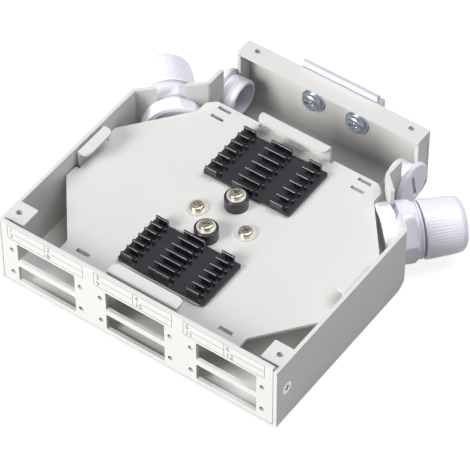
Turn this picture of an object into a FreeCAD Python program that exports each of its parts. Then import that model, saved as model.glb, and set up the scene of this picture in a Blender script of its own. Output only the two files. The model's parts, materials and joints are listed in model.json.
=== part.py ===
import FreeCAD, Part
import math
import os

# Wall box for fibre splices and adapters that snaps on a 35 mm rail.
# Millimetres, +Z up. The box is drawn with its front panel at depth 0 and its
# underside at height 0, and every piece is moved at the end, so that the origin
# is the middle of the whole footprint at the underside.

Vec = FreeCAD.Vector
UP = Vec(0, 0, 1)

# Folded housing sheet and the flat panel that closes its front
sheet = 1.5
box_width = 123.8
box_height = 30.8
panel_height = 32.2
panel_corner = 1.0
rear_width = 82.4
angled_wall_depth = 19.3
bend_before_plate_back = 0.3
bend_inner = 0.6
bend_outer = bend_inner + sheet
bottom_bend_inner = 0.3
bottom_bend_outer = 1.3
fold_round = 1.4
lower_corner_round = 4.5
seam_gap = 0.25
seam_low = 2.7
rear_flange_depth = 7.9
rear_flange_hole_inset = 6.2
rear_flange_hole_back = 3.2
lid_thread_radius = 1.25
corner_tab_reach = 9.4
corner_tab_length = 9.2
corner_tab_gap = 1.9
corner_tab_round = 0.5
corner_tab_hole_inset = 4.2
corner_tab_hole_back = 4.5
ear_length = 8.0
ear_height = 14.0
side_screw_back = 6.5
side_screw_z = 16.8

# Adapter windows of the front panel, three columns and two rows
column_pitch = 40.1
window_width = 26.1
window_low_bottom = 3.6
window_low_top = 11.6
window_high_bottom = 14.4
window_high_top = 23.5
window_corner = 0.6
adapter_hole_spacing = 31.0
adapter_hole_radius = 1.05
adapter_hole_low_z = 7.0
adapter_row_pitch = 12.0

# Cable entries: round holes open to the top through a narrower gap
entry_z = 13.7
entry_gap = 11.0
gland_hole_radius = 9.7
gland_shift = 0.25
plug_hole_radius = 7.95
plug_from_bend = 13.9
plug_to_rear = 13.5

# Cable gland, 18.8 mm thread
gland_thread_radius = 9.4
gland_bore_radius = 6.9
gland_locknut_flats = 23.6
gland_locknut_sides = 12
gland_locknut_thickness = 5.3
gland_thread_short = 0.9
gland_gasket_thickness = 0.6
gland_gasket_radius = 10.2
gland_hex_flats = 21.2
gland_hex_corner = 12.0
gland_hex_thickness = 5.4
gland_hex_turn = -15.5
gland_collar_radius = 10.9
gland_collar_thickness = 2.4
gland_groove_start = 1.1
gland_groove_width = 0.4
gland_groove_depth = 0.4
gland_neck_radius = 8.6
gland_neck_length = 10.4
dome_gap = 0.6
dome_radius = 11.4
dome_length = 16.5
dome_end_radius = 10.4
dome_end_round = 3.6
dome_thread_clearance = 0.06
dome_end_wall = 2.2
dome_mouth_radius = 7.2
seal_bore_radius = 5.0
seal_length = 11.6
seal_clearance = 0.05
gland_start_chamfer = 0.6
gland_edge = 0.8
gland_ring_edge = 0.4
gasket_clearance = 0.1
dome_near_round = 0.5
seal_end_step = 1.0
seal_mouth_round = 0.5

# Blanking plug, 15.4 mm thread
plug_thread_radius = 7.7
plug_tube_bore = 6.4
plug_tube_reach = 7.0
plug_head_radius = 9.3
plug_head_thickness = 1.9
plug_head_round = 0.8
plug_seal_thickness = 0.5
plug_seal_radius = 8.5
plug_slot_width = 1.8
plug_slot_length = 12.0
plug_slot_depth = 1.2
plug_slot_tilt = 13.0

# Splice plate on its standoffs
plate_sheet = 1.2
plate_side_gap = 0.4
plate_front = 4.4
plate_lid_gap = 0.8
plate_front_margin = 11.0
plate_back_margin = 7.7
plate_end_width = 80.0
plate_side_straight = 30.0
plate_end_straight = 5.0
plate_corner_cut = 3.4
wing_height = 7.5
wing_lip = 5.0
wing_lip_round = 2.6
wing_notch = 1.2
wing_bend_round = 1.1
long_wing = 31.0
short_wing = 16.0
tie_slot_x = 31.8
tie_slot_length = 5.8
tie_slot_width = 1.7
tie_slot_round = 0.25
tie_slot_inset = 2.1
tie_slot_pitch = 4.9
plate_corner_round = 2.2
centre_screw_x = 10.9
post_offset = 9.4
standoff_flats = 5.5
standoff_shank_radius = 2.1
fastener_clearance = 0.03
screw_hole_clearance = 0.12
shank_step = 0.05
thread_radius = 1.48
standoff_thread_depth = 9.0

# Splice combs: the rear one is deeper, with its rows further apart
comb_length = 38.8
comb_front_width = 23.4
comb_rear_width = 26.0
comb_front_gap = 0.3
comb_rear_gap = 1.0
comb_base = 1.0
comb_height = 3.9
pad_thickness = 0.7
pad_length = 35.0
pad_front_proud = 0.9
pad_inset = 0.8
pad_round = 1.5
comb_corner = 1.0
fin_count = 7
fin_front_pitch = 3.58
fin_rear_pitch = 4.15
fin_thickness = 1.0
fin_top_round = 0.4
fin_inset = 0.9
fin_root = 0.2
short_fin = 5.3
long_fin = 9.2
long_fin_start = 13.4
last_fin_start = 30.4
pip_radius = 0.65
pip_height = 1.4
pip_round = 0.5
pip_reach = 0.45

# Posts, washers and pan-head screws
post_radius = 4.6
post_height = 5.0
post_bore = 1.6
post_edge = 0.3
washer_radius = 3.6
plate_washer_radius = 4.1
washer_thickness = 0.5
pan_head_radius = 2.75
pan_head_height = 1.6
pan_head_round = 1.0
screw_bite = 7.0
recess_reach = 1.45
recess_width = 0.7
recess_depth = 1.0
post_screw_turn = 28
plate_screw_turn = 12
screw_turn_step = 45
side_head_radius = 2.7
side_screw_length = 3.6
side_head_gap = 0.04
side_recess_depth = 0.9

# Clip for a 35 mm rail, behind the rear wall
rail_half = 17.5
rail_lip_room = 2.2
clip_half = 17.0
clip_low = 5.2
clip_body_high = 27.6
clip_rise = 2.5
clip_depth = 6.2
clip_ridge_depth = 2.7
clip_wall_gap = 0.4
clip_gap_depth = 2.0
clip_ridge_land = 1.1
clip_groove_width = 0.4
clip_groove_depth = 1.2
clip_ridge_chamfer = 0.4
jaw_low = 6.4
jaw_high = 17.4
jaw_thickness = 4.0
jaw_hook = 2.3
jaw_cap = 2.4
jaw_play = 0.2
jaw_chamfer = 1.2
jaw_lead = 0.9
jaw_root = 1.0
jaw_front_step = 1.5
clip_screw_x = 10.0
clip_screw_z = 17.9
clip_screw_radius = 2.0
clip_screw_bite = 4.6
clip_hole_room = 1.4
clip_head_round = 1.4
clip_head_radius = 4.0
clip_head_height = 2.3
clip_flange_radius = 5.0
clip_flange_height = 0.8
latch_low = 6.4
latch_high = 13.6
latch_depth = 3.9
latch_play = 0.1
latch_inner_end = 9.0
latch_window_start = -13.0
latch_window_end = 6.5
latch_window_half = 1.9
latch_pull_reach = 5.0
latch_pull_thickness = 1.8
latch_pull_inset = 1.5
latch_pull_round = 1.2
latch_eye_radius = 1.1
latch_eye_inset = 2.2
latch_end_gap = 0.3
stop_length = 2.0
stop_step = 0.2
spring_wire = 0.25
spring_radius = 1.35
spring_turns = 8


# Drawing helpers

def box(x0, x1, y0, y1, z0, z1):
    return Part.makeBox(x1 - x0, y1 - y0, z1 - z0, Vec(x0, y0, z0))


def rod(radius, start, length, direction=UP):
    return Part.makeCylinder(radius, length, start, direction)


def fuse(shapes):
    joined = shapes[0]
    for shape in shapes[1:]:
        joined = joined.fuse(shape)
    return joined.removeSplitter()


def corner_arc(before, corner, after, radius):
    # Start, middle and end point of a round of the given radius in a corner.
    into = (corner - before).normalize()
    out = (after - corner).normalize()
    turn = into.getAngle(out)
    reach = radius * math.tan(turn / 2)
    start = corner - into * reach
    end = corner + out * reach
    inward = (out - into).normalize()
    centre = corner + inward * (radius / math.cos(turn / 2))
    return start, centre - inward * radius, end


def outline(points, radii, z=0.0):
    # Closed wire through the points, each corner rounded by its radius.
    corners = [Vec(x, y, z) for x, y in points]
    count = len(corners)
    edges = []
    spans = []
    for i in range(count):
        if radii[i] > 0:
            arc = corner_arc(corners[i - 1], corners[i], corners[(i + 1) % count], radii[i])
            edges.append(Part.Arc(*arc).toShape())
            spans.append((arc[0], arc[2]))
        else:
            spans.append((corners[i], corners[i]))
    for i in range(count):
        start = spans[i][1]
        end = spans[(i + 1) % count][0]
        if start.distanceToPoint(end) > 1e-6:
            edges.append(Part.LineSegment(start, end).toShape())
    return Part.Wire(Part.__sortEdges__(edges))


def slab(points, radii, z0, z1):
    return Part.Face(outline(points, radii, z0)).extrude(Vec(0, 0, z1 - z0))


def inset(points, distance):
    # The same outline, run anticlockwise, moved inward by the distance.
    moved = []
    count = len(points)
    for i in range(count):
        here = Vec(points[i][0], points[i][1], 0)
        before = (here - Vec(*points[i - 1], 0)).normalize()
        after = (Vec(*points[(i + 1) % count], 0) - here).normalize()
        side_before = UP.cross(before)
        side_after = UP.cross(after)
        halfway = (side_before + side_after).normalize()
        point = here + halfway * (distance / halfway.dot(side_before))
        moved.append((point.x, point.y))
    return moved


def bottom_edges(shape, z):
    return [edge for edge in shape.Edges
            if abs(edge.BoundBox.ZMax - z) < 1e-4 and abs(edge.BoundBox.ZMin - z) < 1e-4]


def turned(profile):
    # Solid of revolution about Z of a closed profile of (radius, height) points.
    points = [Vec(r, 0, h) for r, h in profile]
    face = Part.Face(Part.makePolygon(points + points[:1]))
    return face.revolve(Vec(0, 0, 0), UP, 360)


def prism(sides, flats, z0, z1):
    # Upright prism of even sides, with a flat at the top and at the bottom of its outline.
    corner = flats / 2 / math.cos(math.pi / sides)
    turn = 0 if sides % 4 == 2 else math.pi / sides
    angles = [turn + 2 * math.pi * i / sides for i in range(sides)]
    points = [Vec(corner * math.cos(angle), corner * math.sin(angle), z0) for angle in angles]
    return Part.Face(Part.makePolygon(points + points[:1])).extrude(Vec(0, 0, z1 - z0))


def on_wall(shape, origin, outward):
    # Lays a shape drawn along Z on a wall: Z goes outward, Y goes up.
    across = UP.cross(outward)
    matrix = FreeCAD.Matrix(
        across.x, UP.x, outward.x, origin.x,
        across.y, UP.y, outward.y, origin.y,
        across.z, UP.z, outward.z, origin.z,
        0, 0, 0, 1)
    placed = shape.copy()
    placed.Placement = FreeCAD.Placement(matrix).multiply(placed.Placement)
    return placed


# Places that several pieces share

half = box_width / 2
rear_half = rear_width / 2
panel_half = half - sheet - seam_gap
post_reach = post_offset + post_radius
comb_front_y = plate_front + plate_front_margin + comb_front_width / 2
plate_centre = comb_front_y + comb_front_width / 2 + comb_front_gap + post_reach
comb_rear_y = plate_centre + post_reach + comb_rear_gap + comb_rear_width / 2
plate_back = comb_rear_y + comb_rear_width / 2 + plate_back_margin
plate_width = box_width - 2 * (sheet + plate_side_gap)
plate_top = box_height - plate_lid_gap - wing_height
rear_bend_y = plate_back - bend_before_plate_back
side_wall_length = rear_bend_y - angled_wall_depth
plug_back = rear_bend_y + plug_from_bend
box_depth = plug_back + plug_to_rear
inner_depth = box_depth - sheet
clip_high = box_height + clip_rise
wall_run = Vec(rear_half - half, rear_bend_y - side_wall_length, 0)
wall_along = Vec(wall_run).normalize()


def gland_place(side):
    # Point on the outer face of an angled wall, and the way out of it.
    middle = Vec(half, side_wall_length, entry_z) + wall_run * 0.5 + wall_along * gland_shift
    return Vec(side * middle.x, middle.y, middle.z), Vec(side * wall_along.y, -wall_along.x, 0)


def plug_place(side):
    return Vec(side * rear_half, plug_back, entry_z), Vec(side, 0, 0)


# Housing

def plan_points():
    return [(-half, 0), (half, 0), (half, side_wall_length), (rear_half, rear_bend_y),
            (rear_half, box_depth), (-rear_half, box_depth), (-rear_half, rear_bend_y),
            (-half, side_wall_length)]


def tray_shell():
    # Floor and walls folded from one sheet, open at the front.
    outer_bends = [0, 0, bend_outer, bend_inner, 0, 0, bend_inner, bend_outer]
    outside = slab(plan_points(), outer_bends, 0, box_height)
    folds = [edge for edge in bottom_edges(outside, 0) if edge.BoundBox.YMax > sheet]
    outside = outside.makeFillet(bottom_bend_outer, folds)
    inner = inset(plan_points(), sheet)
    inner[:2] = [(x, -1) for x, y in inner[:2]]
    hollow = slab(inner, [0, 0, bend_inner, bend_outer, 0, 0, bend_outer, bend_inner], sheet, box_height + 1)
    folds = [edge for edge in bottom_edges(hollow, sheet) if edge.BoundBox.YMax > sheet]
    hollow = hollow.makeFillet(bottom_bend_inner, folds)
    shell = outside.cut(hollow)
    for side in (-1, 1):
        shell = shell.cut(lower_corner_cut(side))
    return shell


def lower_corner_cut(side):
    # Rounds the lower corner where a side wall turns into the angled wall.
    outward = Vec(half - rear_half, rear_bend_y - side_wall_length, 0)
    outward = (Vec(1, 0, 0) + Vec(outward.y, outward.x, 0).normalize()).normalize()
    radius = lower_corner_round
    block = box(-radius, 1, -half, half, -1, radius)
    barrel = rod(radius, Vec(-radius, -half, radius), 2 * half, Vec(0, 1, 0))
    cutter = block.cut(barrel)
    cutter.rotate(Vec(0, 0, 0), UP, math.degrees(math.atan2(outward.y, outward.x)))
    bend_back = bend_outer * (1 / math.cos(outward.getAngle(Vec(1, 0, 0))) - 1)
    cutter.translate(Vec(half, side_wall_length, 0) - outward * bend_back)
    if side < 0:
        cutter = cutter.mirror(Vec(0, 0, 0), Vec(1, 0, 0))
    return cutter


def rear_flange():
    # Turned in from the top of the rear wall, over the two cheeks.
    front = box_depth - rear_flange_depth
    flange = box(-rear_half, rear_half, front, box_depth, box_height - sheet, box_height)
    rear_edge = [edge for edge in flange.Edges
                 if edge.BoundBox.YMin > box_depth - 0.01 and edge.BoundBox.ZMin > box_height - 0.01]
    flange = flange.makeFillet(fold_round, rear_edge)
    corners = [edge for edge in flange.Edges
               if edge.BoundBox.YMax < front + 0.01 and edge.BoundBox.ZLength > sheet - 0.01]
    return flange.makeFillet(bend_outer, corners)


def corner_tab(side):
    # Lid tab turned in from the top of a side wall, behind the front panel.
    front = sheet + corner_tab_gap
    tab = box(half - corner_tab_reach, half, front, front + corner_tab_length,
              box_height - sheet, box_height)
    free = [edge for edge in tab.Edges
            if edge.BoundBox.XMax < half - corner_tab_reach + 0.01 and edge.BoundBox.ZLength > sheet - 0.01]
    tab = tab.makeFillet(corner_tab_round, free)
    if side < 0:
        tab = tab.mirror(Vec(0, 0, 0), Vec(1, 0, 0))
    return tab


def ear(side):
    # Turned back from the panel's edge, along the inside of the side wall.
    outer = panel_half
    low = side_screw_z - ear_height / 2
    piece = box(outer - sheet, outer, 0, sheet + ear_length, low, low + ear_height)
    if side < 0:
        piece = piece.mirror(Vec(0, 0, 0), Vec(1, 0, 0))
    return piece


def window_cut(column, low, high):
    centre = column * column_pitch
    left = centre - window_width / 2
    cut = box(left, left + window_width, -1, sheet + 1, low, high)
    edges = [edge for edge in cut.Edges if edge.BoundBox.YLength > sheet]
    return cut.makeFillet(window_corner, edges)


def front_cuts():
    cuts = []
    for column in (-1, 0, 1):
        cuts.append(window_cut(column, window_low_bottom, window_low_top))
        cuts.append(window_cut(column, window_high_bottom, window_high_top))
        for row in (0, 1):
            for end in (-1, 1):
                start = Vec(column * column_pitch + end * adapter_hole_spacing / 2, -1,
                            adapter_hole_low_z + row * adapter_row_pitch)
                cuts.append(rod(adapter_hole_radius, start, sheet + 2, Vec(0, 1, 0)))
    return cuts


def entry_cut(radius, place):
    reach = sheet + 1.2
    hole = rod(radius, Vec(0, 0, -reach), reach + 1)
    gap = box(-entry_gap / 2, entry_gap / 2, 0, box_height, -reach, 1)
    return on_wall(hole.fuse(gap), *place)


def seam_cuts():
    # Open seams where the rear wall and its flange meet the cheeks.
    cuts = []
    cheek_front = box_depth - rear_flange_depth
    for side in (-1, 1):
        x0 = side * (rear_half - sheet - bottom_bend_inner)
        x1 = side * (rear_half + 1)
        cuts.append(box(min(x0, x1), max(x0, x1), inner_depth - seam_gap, inner_depth,
                        seam_low, box_height - sheet))
        cuts.append(box(min(x0, x1), max(x0, x1), cheek_front - 1, inner_depth,
                        box_height - sheet - seam_gap, box_height - sheet))
    return cuts


def tray_holes():
    cuts = []
    for side in (-1, 1):
        cuts.append(rod(lid_thread_radius, Vec(side * (half - corner_tab_hole_inset),
                        sheet + corner_tab_gap + corner_tab_hole_back, box_height - sheet - 1), sheet + 2))
        cuts.append(rod(lid_thread_radius, Vec(side * (rear_half - rear_flange_hole_inset),
                        box_depth - rear_flange_hole_back, box_height - sheet - 1), sheet + 2))
        clip_hole = Vec(side * clip_screw_x, inner_depth - 1, clip_screw_z)
        cuts.append(rod(clip_screw_radius + screw_hole_clearance, clip_hole, sheet + 2, Vec(0, 1, 0)))
        cuts.append(side_screw_hole(side))
    for x, y in standoff_places():
        cuts.append(rod(standoff_shank_radius + fastener_clearance, Vec(x, y, -1), sheet + 2))
    return cuts


def side_screw_hole(side):
    bore = thread_radius + fastener_clearance
    straight = rod(bore, Vec(0, 0, -4), 6)
    depth = side_head_radius - thread_radius + side_head_gap
    sink = Part.makeCone(bore, bore + depth, depth, Vec(0, 0, -depth))
    return on_wall(straight.fuse(sink), Vec(side * half, side_screw_back, side_screw_z), Vec(side, 0, 0))


def housing_tray():
    tray = tray_shell()
    for cut in seam_cuts():
        tray = tray.cut(cut)
    tray = fuse([tray, rear_flange()] + [corner_tab(side) for side in (-1, 1)])
    cuts = tray_holes()
    for side in (-1, 1):
        cuts.append(entry_cut(gland_hole_radius, gland_place(side)))
        cuts.append(entry_cut(plug_hole_radius, plug_place(side)))
    for cut in cuts:
        tray = tray.cut(cut)
    return tray


def front_panel():
    # Flat between the side walls and over the floor, screwed on by its two ears.
    low = sheet + seam_gap
    panel = box(-panel_half, panel_half, 0, sheet, low, panel_height)
    corners = [edge for edge in panel.Edges
               if edge.BoundBox.YLength > sheet - 0.01 and edge.BoundBox.ZMax < low + 0.01]
    panel = fuse([panel.makeFillet(panel_corner, corners)] + [ear(side) for side in (-1, 1)])
    for cut in front_cuts() + [side_screw_hole(side) for side in (-1, 1)]:
        panel = panel.cut(cut)
    return panel


# Splice plate and what stands on it

def standoff_places():
    return [(-centre_screw_x, plate_centre), (centre_screw_x, plate_centre),
            (0, plate_centre - post_offset), (0, plate_centre + post_offset)]


def plate_points():
    wide = plate_width / 2
    narrow = plate_end_width / 2
    side = plate_side_straight / 2
    end = plate_end_straight + plate_corner_cut
    inner = narrow - plate_corner_cut
    return [(-inner, plate_front), (inner, plate_front), (narrow, plate_front + plate_corner_cut),
            (narrow, plate_front + end), (wide, plate_centre - side), (wide, plate_centre + side),
            (narrow, plate_back - end), (narrow, plate_back - plate_corner_cut), (inner, plate_back),
            (-inner, plate_back), (-narrow, plate_back - plate_corner_cut), (-narrow, plate_back - end),
            (-wide, plate_centre + side), (-wide, plate_centre - side), (-narrow, plate_front + end),
            (-narrow, plate_front + plate_corner_cut)]


def wing(length):
    # Upright web with an inward lip, drawn on the +Y edge at Y = 0.
    low = plate_top - plate_sheet
    high = plate_top + wing_height
    web = box(-length / 2, length / 2, -plate_sheet, 0, low, high)
    lip = slab([(-length / 2, 0), (-length / 2, -wing_lip), (length / 2, -wing_lip), (length / 2, 0)],
               [0, wing_lip_round, wing_lip_round, 0], high - plate_sheet, high)
    joined = fuse([web, lip])
    bends = [edge for edge in joined.Edges if edge.BoundBox.YMin > -0.01
             and edge.BoundBox.XLength > length - 0.1 and edge.BoundBox.ZLength < 0.01]
    return joined.makeFillet(wing_bend_round, bends)


def placed_wing(length, edge_point, degrees):
    piece = wing(length)
    piece.rotate(Vec(0, 0, 0), UP, degrees)
    piece.translate(edge_point)
    return piece


def notch(length, edge_point, degrees):
    # Relief at both ends of a wing, cut into the plate edge.
    cuts = []
    for end in (-1, 1):
        middle = end * (length / 2 + wing_notch / 2)
        cut = box(middle - wing_notch / 2, middle + wing_notch / 2, -wing_notch * 1.5, 1,
                  plate_top - plate_sheet - 1, plate_top + 1)
        cut.rotate(Vec(0, 0, 0), UP, degrees)
        cut.translate(edge_point)
        cuts.append(cut)
    return cuts


def tie_slot(x, y):
    wide = tie_slot_length / 2
    deep = tie_slot_width / 2
    return slab([(x - wide, y - deep), (x + wide, y - deep), (x + wide, y + deep), (x - wide, y + deep)],
                [tie_slot_round] * 4, plate_top - plate_sheet - 1, plate_top + 1)


def splice_plate():
    plate = slab(plate_points(), [plate_corner_round] * 16, plate_top - plate_sheet, plate_top)
    wings = [(long_wing, Vec(0, plate_back, 0), 0), (long_wing, Vec(0, plate_front, 0), 180),
             (short_wing, Vec(-plate_width / 2, plate_centre, 0), 90),
             (short_wing, Vec(plate_width / 2, plate_centre, 0), -90)]
    for spec in wings:
        for cut in notch(*spec):
            plate = plate.cut(cut)
    for spec in wings:
        plate = plate.fuse(placed_wing(*spec))
    plate = plate.removeSplitter()
    for x in (-tie_slot_x, tie_slot_x):
        for row in (0, 1):
            step = tie_slot_inset + row * tie_slot_pitch
            plate = plate.cut(tie_slot(x, plate_front + step))
            plate = plate.cut(tie_slot(x, plate_back - step))
    for x, y in standoff_places():
        plate = plate.cut(rod(thread_radius + screw_hole_clearance, Vec(x, y, plate_top - 3), 6))
    return plate


def standoff(x, y):
    low = sheet
    high = plate_top - plate_sheet
    body = prism(6, standoff_flats, low, high)
    shank = rod(standoff_shank_radius, Vec(0, 0, shank_step), sheet)
    bore_foot = Vec(0, 0, high - standoff_thread_depth)
    bore = rod(thread_radius + fastener_clearance, bore_foot, standoff_thread_depth + 1)
    piece = fuse([body, shank]).cut(bore)
    piece.translate(Vec(x, y, 0))
    return piece


def fin_groups():
    return [(fin_inset, short_fin), (long_fin_start, long_fin), (last_fin_start, short_fin)]


def comb_fin(start, length, front):
    fin = box(start, start + length, front, front + fin_thickness, comb_base - fin_root, comb_height)
    top = [edge for edge in fin.Edges
           if edge.BoundBox.ZMin > comb_height - 0.01 and edge.BoundBox.XLength > length - 0.1]
    return fin.makeFillet(fin_top_round, top)


def comb_pip(foot):
    pip = rod(pip_radius, foot, pip_height + fin_root)
    top = [edge for edge in pip.Edges if edge.BoundBox.ZMin > foot.z + pip_height]
    return pip.makeFillet(pip_round, top)


def splice_comb(y_middle, width, pitch):
    # The last row of fins is flush with the rear edge.
    base = slab([(0, -width / 2), (comb_length, -width / 2), (comb_length, width / 2), (0, width / 2)],
                [comb_corner] * 4, 0, comb_base)
    pieces = [base]
    last_front = width / 2 - fin_thickness
    for start, length in fin_groups():
        for i in range(fin_count):
            front = last_front - i * pitch
            pieces.append(comb_fin(start, length, front))
            if i > 0:
                foot = Vec(start + length + pip_reach, front + pitch / 2, comb_base - fin_root)
                pieces.append(comb_pip(foot))
    comb = fuse(pieces)
    comb.translate(Vec(-comb_length / 2, y_middle, plate_top + pad_thickness))
    return comb


def comb_pad(y_middle, width, proud):
    # Foam tape that holds a comb on the plate.
    front = y_middle - width / 2 - proud
    back = y_middle + width / 2 - pad_inset
    reach = pad_length / 2
    return slab([(-reach, front), (reach, front), (reach, back), (-reach, back)], [pad_round] * 4,
                plate_top, plate_top + pad_thickness)


def post_sleeve(x, y):
    sleeve = rod(post_radius, Vec(0, 0, 0), post_height)
    rim = [edge for edge in sleeve.Edges if edge.BoundBox.ZMin > post_height - 0.01]
    sleeve = sleeve.makeFillet(post_edge, rim).cut(rod(post_bore, Vec(0, 0, -1), post_height + 2))
    sleeve.translate(Vec(x, y, plate_top))
    return sleeve


def washer(radius, x, y, z):
    return rod(radius, Vec(x, y, z), washer_thickness).cut(
        rod(thread_radius + screw_hole_clearance, Vec(x, y, z - 1), washer_thickness + 2))


def cross_recess(reach, width, depth, top):
    bars = [box(-reach, reach, -width / 2, width / 2, top - depth, top + 1),
            box(-width / 2, width / 2, -reach, reach, top - depth, top + 1)]
    return bars[0].fuse(bars[1])


def pan_screw(head_radius, head_height, head_round, shank_radius, shank_length):
    # Head on Z = 0, shank downward, cross recess in the head.
    head = rod(head_radius, Vec(0, 0, 0), head_height)
    rim = [edge for edge in head.Edges if edge.BoundBox.ZMin > head_height - 0.01]
    head = head.makeFillet(head_round, rim)
    shank = rod(shank_radius, Vec(0, 0, -shank_length), shank_length + 0.2)
    scale = head_radius / pan_head_radius
    recess = cross_recess(recess_reach * scale, recess_width * scale, recess_depth * scale, head_height)
    return fuse([head, shank]).cut(recess)


def standing_screw(x, y, seat, length, degrees):
    screw = pan_screw(pan_head_radius, pan_head_height, pan_head_round, thread_radius, length)
    screw.rotate(Vec(0, 0, 0), UP, degrees)
    screw.translate(Vec(x, y, seat))
    return screw


def side_screw(side):
    depth = side_head_radius - thread_radius
    head = Part.makeCone(thread_radius, side_head_radius, depth, Vec(0, 0, -depth - side_head_gap))
    shank = rod(thread_radius, Vec(0, 0, -side_screw_length), side_screw_length - depth)
    recess = cross_recess(recess_reach, recess_width, side_recess_depth, 0)
    screw = fuse([head, shank]).cut(recess)
    return on_wall(screw, Vec(side * half, side_screw_back, side_screw_z), Vec(side, 0, 0))


# Cable glands, drawn along their own axis with the wall's outer face at 0

hex_end = gland_gasket_thickness + gland_hex_thickness
collar_end = hex_end + gland_collar_thickness
dome_start = collar_end + dome_gap


def gland_collar():
    # Two smooth rings with a fine groove between them.
    groove = hex_end + gland_groove_start
    outer = gland_collar_radius
    inner = outer - gland_groove_depth
    return turned([(0, hex_end), (outer, hex_end), (outer, groove), (inner, groove),
                   (inner, groove + gland_groove_width), (outer, groove + gland_groove_width),
                   (outer, collar_end - gland_ring_edge), (outer - gland_ring_edge, collar_end),
                   (0, collar_end)])


def gland_body():
    inner_end = -(sheet + gland_locknut_thickness - gland_thread_short)
    thread = turned([(0, inner_end), (gland_thread_radius - gland_start_chamfer, inner_end),
                     (gland_thread_radius, inner_end + gland_start_chamfer),
                     (gland_thread_radius, gland_gasket_thickness), (0, gland_gasket_thickness)])
    nut = prism(6, gland_hex_flats, gland_gasket_thickness, hex_end)
    nut = nut.common(turned([(0, gland_gasket_thickness), (gland_hex_corner, gland_gasket_thickness),
                             (gland_hex_corner, hex_end - gland_edge),
                             (gland_hex_corner - gland_edge, hex_end), (0, hex_end)]))
    nut.rotate(Vec(0, 0, 0), UP, gland_hex_turn)
    neck_end = collar_end + gland_neck_length
    neck = turned([(0, collar_end), (gland_neck_radius, collar_end),
                   (gland_neck_radius, neck_end - gland_edge), (gland_neck_radius - gland_edge, neck_end),
                   (0, neck_end)])
    bore = rod(gland_bore_radius, Vec(0, 0, inner_end - 1), neck_end - inner_end + 2)
    return fuse([thread, nut, gland_collar(), neck]).cut(bore)


def gland_locknut():
    low = -sheet - gland_locknut_thickness
    corner = gland_locknut_flats / 2 / math.cos(math.pi / gland_locknut_sides)
    nut = prism(gland_locknut_sides, gland_locknut_flats, low, -sheet)
    nut = nut.common(turned([(0, low), (corner - gland_edge, low), (corner, low + gland_edge),
                             (corner, -sheet - gland_ring_edge), (corner - gland_ring_edge, -sheet),
                             (0, -sheet)]))
    bore = rod(gland_thread_radius + fastener_clearance, Vec(0, 0, low - 1), gland_locknut_thickness + 2)
    return nut.cut(bore)


def gland_gasket():
    return rod(gland_gasket_radius, Vec(0, 0, 0), gland_gasket_thickness).cut(
        rod(gland_thread_radius + gasket_clearance, Vec(0, 0, -1), gland_gasket_thickness + 2))


def gland_dome_nut():
    end = dome_start + dome_length
    dome = turned([(0, dome_start), (dome_radius, dome_start), (dome_end_radius, end), (0, end)])
    far_rim = [edge for edge in dome.Edges if edge.BoundBox.ZMin > end - 0.01]
    dome = dome.makeFillet(dome_end_round, far_rim)
    near_rim = [edge for edge in dome.Edges if edge.BoundBox.ZMax < dome_start + 0.01]
    dome = dome.makeFillet(dome_near_round, near_rim)
    inside = gland_neck_radius + dome_thread_clearance
    dome = dome.cut(rod(inside, Vec(0, 0, dome_start - 1), dome_length - dome_end_wall + 1))
    return dome.cut(rod(dome_mouth_radius, Vec(0, 0, dome_start), dome_length + 1))


def gland_seal():
    end = dome_start + dome_length - seal_end_step
    ring = rod(gland_bore_radius - seal_clearance, Vec(0, 0, end - seal_length), seal_length)
    ring = ring.cut(rod(seal_bore_radius, Vec(0, 0, end - seal_length - 1), seal_length + 2))
    mouth = [edge for edge in ring.Edges
             if edge.BoundBox.ZMin > end - 0.01 and edge.BoundBox.XLength < 2 * seal_bore_radius + 0.1]
    return ring.makeFillet(seal_mouth_round, mouth)


# Blanking plugs, drawn the same way

def blanking_plug():
    head_start = plug_seal_thickness
    head_end = head_start + plug_head_thickness
    head = rod(plug_head_radius, Vec(0, 0, head_start), plug_head_thickness)
    rim = [edge for edge in head.Edges if edge.BoundBox.ZMin > head_end - 0.01]
    head = head.makeFillet(plug_head_round, rim)
    slot = box(-plug_slot_width / 2, plug_slot_width / 2, -plug_slot_length / 2, plug_slot_length / 2,
               head_end - plug_slot_depth, head_end + 1)
    slot.rotate(Vec(0, 0, 0), UP, plug_slot_tilt)
    inner_end = -plug_tube_reach
    tube = turned([(0, inner_end), (plug_thread_radius - gland_start_chamfer, inner_end),
                   (plug_thread_radius, inner_end + gland_start_chamfer), (plug_thread_radius, head_start),
                   (0, head_start)])
    bore = rod(plug_tube_bore, Vec(0, 0, inner_end - 1), plug_tube_reach + 1 + head_start)
    return fuse([head, tube]).cut(bore).cut(slot)


def plug_seal_ring():
    return rod(plug_seal_radius, Vec(0, 0, 0), plug_seal_thickness).cut(
        rod(plug_thread_radius + gasket_clearance, Vec(0, 0, -1), plug_seal_thickness + 2))


# Rail clip

clip_back = box_depth + clip_depth
hook_start = clip_back + rail_lip_room
hook_end = hook_start + jaw_cap
latch_middle = (latch_low + latch_high) / 2


def jaw_points(root_y):
    # Hooked jaw on the +X side of the rail, in plan.
    outer = rail_half + jaw_play + jaw_thickness
    inner = rail_half + jaw_play
    tip = inner - jaw_hook
    return [(rail_half - jaw_root, root_y), (outer - jaw_chamfer, root_y), (outer, root_y + jaw_chamfer),
            (outer, hook_end - jaw_chamfer), (outer - jaw_chamfer, hook_end), (tip + jaw_lead, hook_end),
            (tip, hook_end - jaw_lead), (tip, hook_start), (inner, hook_start), (inner, clip_back),
            (rail_half - jaw_root, clip_back)]


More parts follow.
